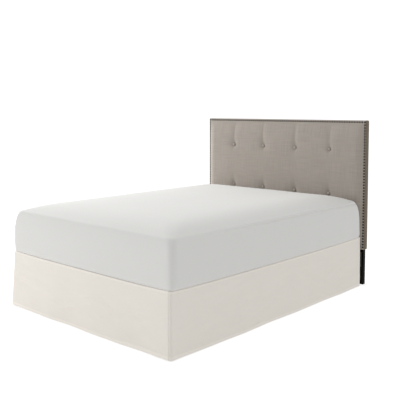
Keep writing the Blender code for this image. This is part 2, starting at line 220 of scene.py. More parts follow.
# %% [markdown]
# ## Cloth materials
# One recipe serves all the cloths: a base colour, a little lighter and darker along the slubs and in soft
# patches, bump from the weave, and rows of stitches where the maker sewed. The place of a thread comes from
# the piece's own map, laid out in metres, so the weave follows the cloth round every fold.

# %% The cloth recipe
# Painted shade: the dark colour that a cloth's sides are mixed towards, and the width over which it comes in.
SIDE_SHADE_COLOUR, SIDE_SHADE_BLEND = (0.175, 0.142, 0.105), 0.003
DOUBLED_PALER, DOUBLED_SHARE = 1.045, 0.65
STITCH_SHADE, STITCH_DEPTH = 0.35, 0.0004
PATCHES_PER_METRE, THREAD_SHADE, CLOTH_BUMP = 5.0, 0.12, 0.6


def use_group(tree, group, **values):
    """Places a node group. A value is a number or a socket; an underscore in its name stands for a space."""
    node = tree.nodes.new("ShaderNodeGroup")
    node.node_tree = group
    for label, value in values.items():
        socket = node.inputs[label.replace("_", " ")]
        if isinstance(value, (int, float)):
            socket.default_value = value
        else:
            tree.links.new(value, socket)
    return node.outputs


def mix_colours(tree, share, first, second):
    """The first colour where the share is 0 and the second where it is 1."""
    node = tree.nodes.new("ShaderNodeMix")
    node.data_type = "RGBA"
    node.clamp_factor = True
    tree.links.new(share, node.inputs[0])
    for socket, value in zip((node.inputs[6], node.inputs[7]), (first, second)):
        if isinstance(value, tuple):
            socket.default_value = (*value, 1.0)
        else:
            tree.links.new(value, socket)
    return node.outputs[2]


def make_cloth(name, light, dark, threads, weave_depth, slub, patch, roughness=0.9, sheen=0.0, rows=(),
               slubs=420.0, doubled_beyond=None, painted_shade_from=None):
    """Cloth from its lightest and darkest colour; slub and patch say how much streaks and patches darken it.

    Cloth is paler where it is doubled, outside two distances down its map. Beyond a given distance from the
    middle in x it is mixed towards a dark colour: painted shade on the sides that turn away from the lamps.
    """
    material = bpy.data.materials.new(name)
    material.use_nodes = True
    tree = material.node_tree
    shader = tree.nodes["Principled BSDF"]
    shader.inputs["Roughness"].default_value = roughness
    shader.inputs["Sheen Weight"].default_value = sheen
    shader.inputs["Sheen Roughness"].default_value = 0.5
    coordinates = tree.nodes.new("ShaderNodeTexCoord")
    own_map = tree.nodes.new("ShaderNodeUVMap")
    own_map.uv_map = "cloth"
    place = own_map.outputs["UV"]
    weave = use_group(tree, WEAVE, Place=place, Threads_per_metre=threads, Slubs_per_metre=slubs)
    patches = add_noise(tree, coordinates.outputs["Object"], PATCHES_PER_METRE, detail=3.0)
    darker = add_math(tree, "ADD", add_math(tree, "MULTIPLY", weave["Slub"], slub),
                      add_math(tree, "MULTIPLY", patches, patch))
    # Raised threads are drawn a little lighter: painted light on the tops of the weave.
    darker = add_math(tree, "ADD", darker, add_math(tree, "MULTIPLY", weave["Height"], -THREAD_SHADE * slub))
    colour = mix_colours(tree, darker, light, dark)
    height = add_math(tree, "MULTIPLY", weave["Height"], weave_depth)
    height = add_math(tree, "ADD", height, add_math(tree, "MULTIPLY", weave["Slub"], 2.0 * weave_depth))
    # Painted shade: beyond a distance from the middle in x the colour goes dark, where the cloth turns round
    # a side away from the lamps.
    if painted_shade_from is not None:
        sides = tree.nodes.new("ShaderNodeSeparateXYZ")
        tree.links.new(coordinates.outputs["Object"], sides.inputs[0])
        into_side_shade = add_math(tree, "SUBTRACT", add_math(tree, "ABSOLUTE", sides.outputs[0]), painted_shade_from)
        colour = mix_colours(tree, add_math(tree, "MULTIPLY", into_side_shade, 1 / SIDE_SHADE_BLEND), colour, SIDE_SHADE_COLOUR)
    if rows:
        parts = tree.nodes.new("ShaderNodeSeparateXYZ")
        tree.links.new(place, parts.inputs[0])
        if doubled_beyond is not None:
            middle, half = sum(doubled_beyond) / 2, (doubled_beyond[1] - doubled_beyond[0]) / 2
            off_middle = add_math(tree, "ABSOLUTE", add_math(tree, "SUBTRACT", parts.outputs[1], middle))
            paler = tuple(DOUBLED_PALER * v for v in light)
            doubled = add_math(tree, "GREATER_THAN", off_middle, half)
            colour = mix_colours(tree, add_math(tree, "MULTIPLY", doubled, DOUBLED_SHARE), colour, paler)
        for along_axis, row in rows:
            along, across = parts.outputs[along_axis], parts.outputs[1 - along_axis]
            mask = use_group(tree, STITCH, Along=along, Across=across, Row=row)["Mask"]
            colour = mix_colours(tree, add_math(tree, "MULTIPLY", mask, STITCH_SHADE), colour, dark)
            height = add_math(tree, "SUBTRACT", height, add_math(tree, "MULTIPLY", mask, STITCH_DEPTH))
    tree.links.new(colour, shader.inputs["Base Color"])
    bump = tree.nodes.new("ShaderNodeBump")
    bump.inputs["Distance"].default_value = 1.0
    bump.inputs["Strength"].default_value = CLOTH_BUMP
    tree.links.new(height, bump.inputs["Height"])
    tree.links.new(bump.outputs[0], shader.inputs["Normal"])
    return material


# %% Measures of the sewing
ROLL_RADIUS, CORNER_RADIUS, SEAM_GAP = 0.008, 0.016, 0.0008
HEM_DEPTH, HEM_TURN, CLOTH_THICK = 0.025, 0.0012, 0.0008
TOP_STITCH = math.pi / 2 * ROLL_RADIUS + 0.0075
FALL_LENGTH = DROP - ROLL_RADIUS - 0.005
HEM_STITCH = math.pi / 2 * ROLL_RADIUS + FALL_LENGTH - HEM_DEPTH + 0.002
skirt_cloth = make_cloth("ivory skirt cloth", (0.93, 0.885, 0.82), (0.74, 0.69, 0.61), 1900.0, 0.00005, 0.28,
                         0.14, rows=((0, TOP_STITCH), (0, HEM_STITCH)),
                         doubled_beyond=(TOP_STITCH, HEM_STITCH))
deck_cloth = make_cloth("deck lining", (0.84, 0.82, 0.79), (0.66, 0.64, 0.60), 1500.0, 0.00005, 0.35, 0.2)
sheet_cloth = make_cloth("fitted sheet", (0.80, 0.795, 0.775), (0.66, 0.655, 0.635), 2400.0, 0.00003, 0.12,
                         0.10)
ticking = make_cloth("box spring ticking", (0.80, 0.78, 0.74), (0.62, 0.60, 0.56), 1200.0, 0.00006, 0.4, 0.2)
# The linen is darkened on the board's sides and on its edge strips outside the nails: painted shade.
linen = make_cloth("taupe linen", (0.54, 0.486, 0.434), (0.195, 0.171, 0.146), 950.0, 0.00012, 0.75, 0.15,
                   roughness=0.95, sheen=0.15, slubs=190.0, painted_shade_from=BOARD_HIGH.x - 0.008)
print("top stitch at", round(TOP_STITCH, 4), "hem stitch at", round(HEM_STITCH, 4))


# %% [markdown]
# ## Paint and metal
# Hidden frame parts and the headboard's legs are painted steel. Paint has faint orange peel and is scuffed
# lighter in patches. The nail heads are metal darkened almost to black, so the same recipe serves them.

# %% The paint recipe
def make_paint(name, colour, worn, roughness, metallic=0.0, wear=0.35, grain=240.0, shine=0.25):
    """Noise above a threshold marks worn patches, lighter in colour and a little rougher."""
    material = bpy.data.materials.new(name)
    material.use_nodes = True
    tree = material.node_tree
    shader = tree.nodes["Principled BSDF"]
    shader.inputs["Metallic"].default_value = metallic
    shader.inputs["Specular IOR Level"].default_value = shine
    place = tree.nodes.new("ShaderNodeTexCoord").outputs["Object"]
    scuffs = add_math(tree, "GREATER_THAN", add_noise(tree, place, 38.0, detail=6.0), 1.0 - wear)
    cloud = add_noise(tree, place, 9.0, detail=2.0)
    scuffed, clouded = add_math(tree, "MULTIPLY", scuffs, 0.5), add_math(tree, "MULTIPLY", cloud, 0.25)
    share = add_math(tree, "ADD", scuffed, clouded)
    tree.links.new(mix_colours(tree, share, colour, worn), shader.inputs["Base Color"])
    rough = add_math(tree, "ADD", add_math(tree, "MULTIPLY", cloud, 0.15), roughness)
    tree.links.new(rough, shader.inputs["Roughness"])
    bump = tree.nodes.new("ShaderNodeBump")
    bump.inputs["Strength"].default_value = 0.15
    bump.inputs["Distance"].default_value = 0.0005
    tree.links.new(add_noise(tree, place, grain), bump.inputs["Height"])
    tree.links.new(bump.outputs[0], shader.inputs["Normal"])
    return material


black_paint = make_paint("black leg paint", (0.005, 0.005, 0.004), (0.012, 0.011, 0.009), 0.55, shine=0.08)
frame_paint = make_paint("dark frame paint", (0.035, 0.035, 0.032), (0.10, 0.095, 0.085), 0.42)
nail_metal = make_paint("darkened nail metal", (0.010, 0.008, 0.006), (0.030, 0.022, 0.016), 0.45,
                        metallic=0.10, wear=0.30, grain=600.0, shine=0.12)

# %% Paint the frame's own solids
painted = []
for node_name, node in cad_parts.items():
    if node_name.startswith("headboard_leg"):
        paint = black_paint
    elif node_name.startswith(("side_rail", "cross_bar", "frame_leg", "bracket")):
        paint = frame_paint
    else:
        continue
    node.data.materials.clear()
    node.data.materials.append(paint)
    painted.append(node_name)
print("painted", len(painted), "solids")


# %% [markdown]
# ## How the edge of the bed droops
# A seam along a soft box spring is never quite straight. Between the corners it sags 8 to 10 mm, following
# a fourth power, so it is nearly level in the middle and rises late towards each corner. Deck, drops and
# mattress all follow it, so that they stay together.

# %% Droop
FOOT_SAG, SIDE_SAG, DROOP_REACH = 0.008, 0.010, 0.025


def foot_sag(x):
    """The sag at the foot: FOOT_SAG times 1 - (x / half width)^4."""
    return FOOT_SAG * np.maximum(0.0, 1 - (x / HALF_WIDTH) ** 4)


def side_sag(y):
    """The sag at a side: SIDE_SAG times 1 - (distance from the middle / half length)^4."""
    return SIDE_SAG * np.maximum(0.0, 1 - ((y - Y_MIDDLE) / (BED_LENGTH / 2)) ** 4)


def droop(x, y):
    """The whole sag at the seam, eased to nothing a little way in."""
    near_foot = 1 - ease((y - Y_FOOT - ROLL_RADIUS) / DROOP_REACH)
    near_side = 1 - ease((HALF_WIDTH - np.abs(x) - ROLL_RADIUS) / DROOP_REACH)
    return foot_sag(x) * near_foot + side_sag(y) * near_side


print("sag at the middle of a side", round(float(side_sag(Y_MIDDLE)), 4), "and at its end", side_sag(Y_HEAD))


# %% [markdown]
# ## The drops
# Each drop is one strip of cloth. From the seam it rolls over the edge, falls to the floor, turns under and
# goes back up inside as the hem. That section is a path in the plane across the cloth, and it is carried
# along the edge of the bed. A box pleat or a gather would need folds here; a tailored drop only swings out
# a little.

# %% The section of a drop
def section_stations(fall_steps=46):
    """Share of the fall, inset, drop on the roll and rise, for each station from seam to hem's inner edge."""
    turn = np.linspace(0, math.pi / 2, 7)
    roll = [(0.0, ROLL_RADIUS * (1 - math.sin(a)), ROLL_RADIUS * (1 - math.cos(a)), 0.0) for a in turn[:-1]]
    fall = [(s, 0.0, ROLL_RADIUS, 0.0) for s in np.linspace(0, 1, fall_steps)]
    under = [(1.0, HEM_TURN * (1 - math.cos(a)), ROLL_RADIUS, -HEM_TURN * math.sin(a))
             for a in np.linspace(0, math.pi, 7)[1:-1]]
    back = [(1.0, 2 * HEM_TURN, ROLL_RADIUS, rise) for rise in np.linspace(0, HEM_DEPTH, 6)]
    return np.array(roll + fall + under + back)


def section_heights(stations, top, hem):
    """Height of each station: down the roll, then from the roll's foot to the hem, and back up inside."""
    share, _, below, rise = stations.T
    start = top[:, None] - below
    return start + (hem[:, None] + HEM_TURN - start) * share + rise


def cloth_map(points):
    """Lays the grid out flat in metres: distance along the middle row, and distance down from the seam."""
    down = np.cumsum(np.linalg.norm(np.diff(points, axis=1, prepend=points[:, :1]), axis=-1), axis=1)
    middle = points[:, points.shape[1] // 2]
    along = np.cumsum(np.linalg.norm(np.diff(middle, axis=0, prepend=middle[:1]), axis=-1))
    return np.stack([np.broadcast_to(along[:, None], down.shape), down], -1)


# %% [markdown]
# Two kinds of unevenness keep the cloth from looking like a board. Broad swings push the whole hem in and
# out. Fine creases, left from the packet and from handling, are short soft ridges, nearly level. Each wave
# below is its place along the hem, its height in metres and its width, places and widths as shares of the
# length.

# %% Swings and creases
HEM_AT_MIDDLE, HEM_AT_CORNER = 0.0012, 0.005
CREASE_SLANT, CREASE_REACH = (0.04, 0.18), (0.06, 0.20)
CREASE_WIDTH, CREASE_DEPTH = (0.010, 0.024), (0.0012, 0.0036)
FLARE_LEFT_CORNER, FLARE_RIGHT_CORNER, FLARE_HEAD_END = 0.017, 0.010, 0.003
FOOT_WAVES = ((0.03, -0.002, 0.03), (0.28, 0.005, 0.07), (0.43, -0.003, 0.06), (0.60, 0.005, 0.08),
              (0.73, 0.003, 0.05), (0.86, -0.003, 0.06))
RIGHT_WAVES = ((0.04, -0.002, 0.03), (0.16, 0.001, 0.04), (0.30, 0.0045, 0.06), (0.44, -0.003, 0.05),
               (0.58, 0.0035, 0.05), (0.75, -0.003, 0.05), (0.87, 0.003, 0.03))
LEFT_WAVES = ((0.05, -0.002, 0.03), (0.21, 0.004, 0.07), (0.37, -0.003, 0.06), (0.55, 0.005, 0.08),
              (0.72, -0.002, 0.05), (0.86, 0.0035, 0.06))


def swing(waves, along, down):
    """Bell curves along the hem, growing as the 1.5th power of the fall."""
    return sum(h * np.exp(-(((along - place) / width) ** 2)) for place, h, width in waves) * down**1.5


def flare(down):
    """The corners stand out as the 1.3rd power of the fall."""
    return down**1.3


def hem_height(along):
    """The hem just clears the floor in the middle and lifts, as a fourth power, towards the ends."""
    return mix(HEM_AT_MIDDLE, HEM_AT_CORNER, (2 * along - 1) ** 4)


def creases(along, down, length, count, seed):
    """A sum of short ridges: a bell across each nearly level line, times a wider bell along it."""
    draw = np.random.default_rng(seed)
    total = np.zeros(np.broadcast(along, down).shape)
    for _ in range(count):
        place, height = draw.uniform(0.04, 0.96) * length, draw.beta(3.0, 2.0) * DROP
        slant = draw.normal(*CREASE_SLANT)
        reach, width = draw.uniform(*CREASE_REACH), draw.uniform(*CREASE_WIDTH)
        depth = draw.uniform(*CREASE_DEPTH) * draw.choice((-1, 1))
        dx, dz = along * length - place, down * DROP - height
        lengthways = dx * math.cos(slant) + dz * math.sin(slant)
        sideways = dz * math.cos(slant) - dx * math.sin(slant)
        total += depth * np.exp(-((lengthways / reach) ** 2) - (sideways / width) ** 2)
    return total * ease(down / 0.12) * ease((1 - down) / 0.05 + 0.15)


# %% The foot drop
STATIONS = section_stations()
share_down, inset_in, _, _ = STATIONS.T
print("stations down a drop", len(STATIONS))


def foot_surface(columns=300):
    """Point (along, station): across the foot, pushed out by flare, swings and creases."""
    along = np.linspace(0, 1, columns)
    x_top = mix(-HALF_WIDTH, HALF_WIDTH, along)
    z = section_heights(STATIONS, DROP - foot_sag(x_top), hem_height(along))
    a, down = along[:, None], share_down[None, :]
    half = HALF_WIDTH - CORNER_RADIUS - SEAM_GAP
    x = mix(-(half + FLARE_LEFT_CORNER * flare(down)), half + FLARE_RIGHT_CORNER * flare(down), a)
    out = mix(FLARE_LEFT_CORNER, FLARE_RIGHT_CORNER, a) * flare(down)
    out = out + swing(FOOT_WAVES, a, down) * np.minimum(1.0, 12 * a * (1 - a))
    out = out + creases(a, down, BED_WIDTH, 60, 11) * np.minimum(1.0, 30 * a * (1 - a))
    return np.stack([x, Y_FOOT + inset_in - out, z], -1)


def skirt_piece(name, points, node):
    """One drop: the grid, its thickness, and the frame part it stands for, which it hides."""
    quads = grid_quads(points.shape[0], points.shape[1])
    if "right" in name:
        quads = quads[:, ::-1]
    piece = make_piece(name, points, quads, skirt_cloth, cloth_map(points))
    give_thickness(piece, CLOTH_THICK)
    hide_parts(node)
    return piece


# %% [markdown]
# The side drops start at the head, run along the bed and turn the foot corner, where they meet the end of
# the foot drop in a seam. Straight part and corner share one formula: an arc that turns by an angle, which
# stays 0 along the side. At the head the cloth ends in a narrow turned hem, which shows as two low ridges.

# %% The side drops
END_HEM_FOLDS, END_HEM_RISE, END_HEM_WIDTH = (0.011, 0.027), 0.0016, 0.005


def side_surface(side, corner_flare, waves, seed, straight=400, turn_steps=12):
    """Point (along, station): an arc about a centre that moves out with the flare. Angle 0 is the side."""
    along = np.concatenate([np.linspace(0, 1, straight), np.ones(turn_steps)])
    angle = np.concatenate([np.zeros(straight), np.linspace(0, math.pi / 2, turn_steps + 1)[1:]])
    y_top = mix(Y_HEAD, Y_FOOT + CORNER_RADIUS, along)
    x_top = HALF_WIDTH - CORNER_RADIUS * (1 - np.cos(angle))
    from_foot = 1 - along
    z = section_heights(STATIONS, DROP - side_sag(y_top) - foot_sag(x_top), hem_height(from_foot))
    a, f, down = along[:, None], from_foot[:, None], share_down[None, :]
    spread = corner_flare * flare(down)
    out = mix(FLARE_HEAD_END, corner_flare, a) * flare(down) - spread
    out = out + swing(waves, f, down) * np.minimum(1.0, 25 * f)
    out = out + creases(f, down, BED_LENGTH, 46, seed) * np.minimum(1.0, 30 * f)
    from_end = a * BED_LENGTH
    for fold in END_HEM_FOLDS:
        out = out + END_HEM_RISE * np.exp(-(((from_end - fold) / END_HEM_WIDTH) ** 2)) * ease(down / 0.1)
    reach = CORNER_RADIUS - inset_in
    x = HALF_WIDTH - CORNER_RADIUS + spread + reach * np.cos(angle)[:, None] + out
    y = mix(Y_HEAD, Y_FOOT + CORNER_RADIUS - spread, a) - reach * np.sin(angle)[:, None]
    return np.stack([side * x, y, z], -1)


# %% [markdown]
# ## The deck
# The deck cloth carries the drops. It lies flat on the box spring, held down by the mattress, and only its
# edge follows the droop.

# %% Make the skirt
def deck_surface(columns=90, rows=110):
    """A level grid, lowered by the droop, its two foot corners drawn in to the corner seam."""
    edge_x, edge_foot = HALF_WIDTH - ROLL_RADIUS - SEAM_GAP, Y_FOOT + ROLL_RADIUS + SEAM_GAP
    t = np.linspace(-1, 1, columns)
    across = edge_x * np.sign(t) * (1 - (1 - np.abs(t)) ** 1.6)
    x, y = np.meshgrid(across, mix(edge_foot, Y_BED_HEAD, np.linspace(0, 1, rows) ** 1.5), indexing="ij")
    corner = (CORNER_RADIUS - ROLL_RADIUS) * (1 - math.sqrt(0.5))
    pull = corner * np.exp(-((edge_x - np.abs(x)) + (y - edge_foot)) / 0.004)
    x, y = x - np.sign(x) * pull, y + pull
    return np.stack([x, y, DROP - droop(x, y)], -1)


deck_points = deck_surface()
deck_quads = grid_quads(*deck_points.shape[:2])[:, ::-1]
deck = make_piece("skirt_deck", deck_points, deck_quads, deck_cloth, deck_points[..., :2])
give_thickness(deck, CLOTH_THICK)
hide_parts("deck")
foot_drop = skirt_piece("skirt_foot_drop", foot_surface(), "foot_drop")
left_points = side_surface(-1, FLARE_LEFT_CORNER, LEFT_WAVES, 23)
left_drop = skirt_piece("skirt_left_drop", left_points, "left_drop")
right_points = side_surface(1, FLARE_RIGHT_CORNER, RIGHT_WAVES, 37)
right_drop = skirt_piece("skirt_right_drop", right_points, "right_drop")
print("drop faces", [len(p.data.polygons) for p in (foot_drop, left_drop, right_drop)])


# %% [markdown]
# ## Closed forms from rings
# Mattress and box spring are closed forms. Each is a stack of rounded rectangles, from a point in the
# middle of the underside, out round the sides, and in again to a point in the middle of the top.

# %% Rings
def rectangle_parts(arc_steps=10, side_steps=(110, 150)):
    """Four numbers per point, so that any rounded rectangle is x = X a + r b, y = Y c + r d."""
    parts = []
    signs = ((1, 1), (-1, 1), (-1, -1), (1, -1))
    for k, (sx, sy) in enumerate(signs):
        angles = math.pi / 2 * (k + np.linspace(0, 1, arc_steps + 1))
        parts.append(np.stack([np.full_like(angles, sx), np.cos(angles), np.full_like(angles, sy),
                               np.sin(angles)], -1))
        nx, ny = signs[(k + 1) % 4]
        t = np.linspace(0, 1, side_steps[k % 2] + 1)[1:-1]
        end = math.pi / 2 * (k + 1)
        parts.append(np.stack([mix(sx, nx, t), np.full_like(t, math.cos(end)), mix(sy, ny, t),
                               np.full_like(t, math.sin(end))], -1))
    return np.concatenate(parts)


def ring_stack(half_x, half_y, radius, y_centre, parts):
    """x and y of every ring point, for arrays of half sizes and corner radii."""
    a, b, c, d = parts.T
    x = (half_x - radius)[:, None] * a + radius[:, None] * b
    y = y_centre + (half_y - radius)[:, None] * c + radius[:, None] * d
    return x, y


def close_rings(points):
    """Ring quads, plus a fan to one point at each end. Returns flat points and faces."""
    rings, count = points.shape[:2]
    flat = np.concatenate([points.reshape(-1, 3), points[0].mean(0)[None], points[-1].mean(0)[None]])
    around = np.arange(count)
    nxt = (around + 1) % count
    low, high = rings * count, rings * count + 1
    last = (rings - 1) * count
    fans = [np.stack([nxt, around, np.full(count, low)], -1),
            np.stack([last + around, last + nxt, np.full(count, high)], -1)]
    return flat, [*grid_quads(rings, count, True).tolist(), *fans[0].tolist(), *fans[1].tolist()]


# %% [markdown]
# ## The mattress in its fitted sheet
# A sheet pulled over a mattress hides its sewing but not its form. The top is crowned, the shoulder is a
# wide soft curve, and the piping of the mattress shows through as a faint ridge, with a shallow groove
# under it along the sides. Where the sheet is gathered under each corner, short puckers run up from the
# bottom edge.

# %% Mattress form
MATTRESS_HALF_WIDTH, MATTRESS_WIDEST, MATTRESS_TOP = 0.776, 0.455, 0.712
PIPING_HEIGHT, PIPING_INSET, CROWN_REACH = 0.650, 0.022, 0.38
SIDE_TUCK, END_TUCK = 0.026, 0.014
Y_MATTRESS_FOOT = Y_FOOT - 0.0035
MATTRESS_CLEAR, MATTRESS_CORNER, MATTRESS_OFF_CENTRE, SHOULDER_PASSES = 0.0006, 0.042, 0.003, 14
UNDERSIDE_INSETS = np.array([0.70, 0.4, 0.2, 0.1, 0.06, 0.045, 0.035, 0.029])
TUCK_POWER, CROWN_POWERS, FLAT_EDGE, DROOP_SHARE = 3.2, (3.0, 3.5), PIPING_INSET + CROWN_REACH, 0.92


def even_arc(x, z, count):
    """Picks count places along a curve, evenly spaced by its length."""
    length = np.concatenate([[0], np.cumsum(np.hypot(np.diff(x), np.diff(z)))])
    at = np.linspace(0, length[-1], count)
    return np.interp(at, length, x), np.interp(at, length, z)


def mattress_profile(rise, piping, underside_count):
    """Inset and height of each ring, from the underside's middle to the top's, and the insets of the tuck."""
    t = np.linspace(0, 1, 400)
    tuck, tuck_z = even_arc(SIDE_TUCK * (1 - (1 - (1 - t) ** TUCK_POWER) ** (1 / TUCK_POWER)), rise * t, 16)
    up, over = np.linspace(0, 1, 46)[1:], np.linspace(0, 1, 64)[1:] ** 1.25
    panel, panel_z = PIPING_INSET * up**3, mix(rise, piping, up)
    crown = PIPING_INSET + CROWN_REACH * over
    flat = np.linspace(FLAT_EDGE, MATTRESS_HALF_WIDTH - 0.002, 14)[1:]
    inset = np.concatenate([UNDERSIDE_INSETS, tuck, panel, crown, flat])
    top = np.full(len(crown) + len(flat), piping)
    return inset, np.concatenate([np.zeros(underside_count), tuck_z, panel_z, top]), tuck


def mattress_surface():
    """Tuck 1 - (1 - s^3.2)^(1/3.2), panel leaning in as t^3, crown 1 - (1 - u)^p with p from 3 to 3.5.

    From a little above the tuck, each ring is averaged with its two neighbours as [1, 2, 1] / 4, again and
    again, which rounds the edge into a soft shoulder.
    """
    underside = DROP + MATTRESS_CLEAR
    half_y, y_centre = (Y_BED_HEAD - Y_MATTRESS_FOOT) / 2, (Y_BED_HEAD + Y_MATTRESS_FOOT) / 2
    rise, piping = MATTRESS_WIDEST - underside, PIPING_HEIGHT - underside
    under = len(UNDERSIDE_INSETS)
    inset, z, tuck = mattress_profile(rise, piping, under)
    tucked = slice(under, under + len(tuck))
    above = np.arange(len(inset)) > under + len(tuck)
    radius = np.where(above, MATTRESS_CORNER + 0.25 * inset, np.maximum(MATTRESS_CORNER - inset, 0.006))
    radius = np.minimum(radius, 0.9 * (MATTRESS_HALF_WIDTH - inset))
    on_flat = above & (inset >= FLAT_EDGE)
    narrowed = (half_y - PIPING_INSET) * (MATTRESS_HALF_WIDTH - inset) / (MATTRESS_HALF_WIDTH - PIPING_INSET)
    half_length = np.where(on_flat, narrowed, half_y - inset)
    half_length[tucked] = half_y - tuck * END_TUCK / SIDE_TUCK
    x, y = ring_stack(MATTRESS_HALF_WIDTH - inset, half_length, radius, y_centre, rectangle_parts())
    share = np.clip((inset - PIPING_INSET) / CROWN_REACH, 0, 1)[:, None] * (z >= piping)[:, None]
    power = mix(*CROWN_POWERS, ease(x / MATTRESS_HALF_WIDTH / 2 + 0.5))
    height = z[:, None] + (MATTRESS_TOP - PIPING_HEIGHT) * (1 - (1 - share) ** power)
    first = tucked.stop + 8
    for _ in range(SHOULDER_PASSES):
        for grid in (x, y, height):
            grid[first:-1] = (grid[first - 1:-2] + 2 * grid[first:-1] + grid[first + 1:]) / 4
    follow = DROOP_SHARE * (1 - ease((height - 0.013) / 0.030))
    return np.stack([x + MATTRESS_OFF_CENTRE, y, underside + height - follow * droop(x, y)], -1)


# %% Sheet over the mattress
RIDGE_RISE, GROOVE_DEPTH, PUCKER_AT_FOOT, PUCKER_AT_HEAD = 0.0016, 0.0065, 0.0012, 0.0055


def sheet_relief(points):
    """Piping ridge, a groove under it at the sides, puckers fading up from the corners, and slack waves."""
    x, y, z = np.moveaxis(points, -1, 0)
    to_side = MATTRESS_HALF_WIDTH - np.abs(x)
    to_end = np.minimum(y - Y_MATTRESS_FOOT, Y_BED_HEAD - y)
    ridge = RIDGE_RISE * np.exp(-(((z - PIPING_HEIGHT - 0.006) / 0.007) ** 2))
    line = np.exp(-(((z - PIPING_HEIGHT + 0.008) / 0.006) ** 2)) * (to_side < to_end)
    ridge = ridge - GROOVE_DEPTH * line * ease((y - Y_MATTRESS_FOOT) / 1.0)
    near_corner = np.exp(-(np.maximum(to_side, to_end) / 0.16) ** 2)
    up = z - DROP
    fade = np.exp(-up / 0.09)
    puckers = mix(PUCKER_AT_FOOT, PUCKER_AT_HEAD, y > 0) * np.sin((x + y) * 210 + 14 * up)
    puckers = puckers * near_corner * fade
    slack = 0.0007 * np.sin(9 * x + 4 * y + 1.3) * np.sin(7 * y - 3 * x) * (z > 0.6)
    pull = 0.0008 * np.sin(31 * (x - y) + 3 * np.sin(5 * y)) * fade
    return (ridge + puckers + slack + pull) * (z > DROP + 0.012)


mattress_points = mattress_surface()
mattress_points = push_out(mattress_points, sheet_relief(mattress_points), ring=True)
mattress_flat, mattress_faces = close_rings(mattress_points)
mattress_map = mattress_flat[:, :2] + 0.7 * mattress_flat[:, 2:]
mattress = make_piece("sheeted_mattress", mattress_flat, mattress_faces, sheet_cloth,
                      mattress_map)
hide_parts("mattress")
print("mattress", np.round(mattress_points.min((0, 1)), 3), np.round(mattress_points.max((0, 1)), 3))


# %% [markdown]
# ## The box spring
# The skirt hides all of it but the head end. It is a plain covered block with a line of piping near its top
# and bottom edges.

# %% Box spring
PIPING_RISE = 0.0025


def box_spring_surface():
    """Rounded rectangles up the side, wider on the two piping lines, then in over a rounded top edge."""
    low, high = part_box("box_spring")
    half_x, half_y = high.x, (high.y - low.y) / 2
    deep, edge = high.z - low.z, 0.024
    z = np.concatenate([[0, 0, 0], np.linspace(0.008, deep - edge, 40)])
    inset = np.concatenate([[0.6, 0.1, 0.008], np.zeros(40)])
    turn = np.linspace(0, math.pi / 2, 9)[1:]
    z = np.concatenate([z, deep - edge * (1 - np.sin(turn)), np.full(3, deep)])
    inset = np.concatenate([inset, edge * (1 - np.cos(turn)), [0.06, 0.2, 0.6]])
    for line in (0.020, deep - 0.040):
        inset = inset - PIPING_RISE * np.exp(-(((z - line) / 0.004) ** 2)) * (inset == 0)
    radius = np.maximum(0.030 - inset, 0.004)
    parts = rectangle_parts(6, (40, 50))
    x, y = ring_stack(half_x - inset, half_y - inset, radius, (low.y + high.y) / 2, parts)
    return np.stack([x, y, low.z + np.broadcast_to(z[:, None], x.shape)], -1)


spring_flat, spring_faces = close_rings(box_spring_surface())
spring_map = np.stack([spring_flat[:, 0] + spring_flat[:, 1], spring_flat[:, 2]], -1)
box_spring = make_piece("box_spring_block", spring_flat, spring_faces, ticking, spring_map)
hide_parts("box_spring")
print("box spring faces", len(spring_faces))


# %% [markdown]
# ## The headboard
# Linen is stretched over padding on a board. Buttons pull it in, and the cloth between a button and the
# edge gathers into a soft fold. A row of nail heads holds it along the border. The front is a grid over the
# board's face, so the pad's height is simply a function of the place on it.

# %% Pad height
BORDER, PAD_ROLL_SIDE, PAD_ROLL_TOP, PAD_ROLL_POWER = 0.018, 0.075, 0.190, 2.4
BUTTON_SPACING, BUTTON_ROWS, BUTTON_RADIUS, DIMPLE_DEPTH = 0.320, (0.689, 1.0385), 0.0125, 0.015
DIMPLE_FALL = ((0.6, 0.011), (0.4, 0.036))
VALLEY_DEPTH, VALLEY_LOW_ROW, VALLEY_TOP_ROW, BELOW_DEPTH = 0.0080, 0.12, 0.42, 0.0030
BOARD_HALF, BOARD_BOTTOM, BOARD_TOP = BOARD_HIGH.x, BOARD_LOW.z, BOARD_HIGH.z
BOARD_CORNER, EDGE_ROUND, BACK_BEVEL = 0.010, 0.011, 0.003
BUTTONS = [(BUTTON_SPACING * (k - 1.5), z) for z in BUTTON_ROWS for k in range(4)]


def pad_height(x, z):
    """Crown times a roll 1 - (1 - s)^2.4 up from each edge, s being the share of the roll's width."""
    rise = np.ones(np.broadcast(x, z).shape)
    gap_z = np.minimum(z - BOARD_BOTTOM, BOARD_TOP - z)
    for gap, roll in ((BOARD_HALF - np.abs(x), PAD_ROLL_SIDE), (gap_z, PAD_ROLL_TOP)):
        rise = rise * (1 - (1 - np.clip((gap - BORDER) / roll, 0, 1)) ** PAD_ROLL_POWER)
    return PAD_CROWN * rise


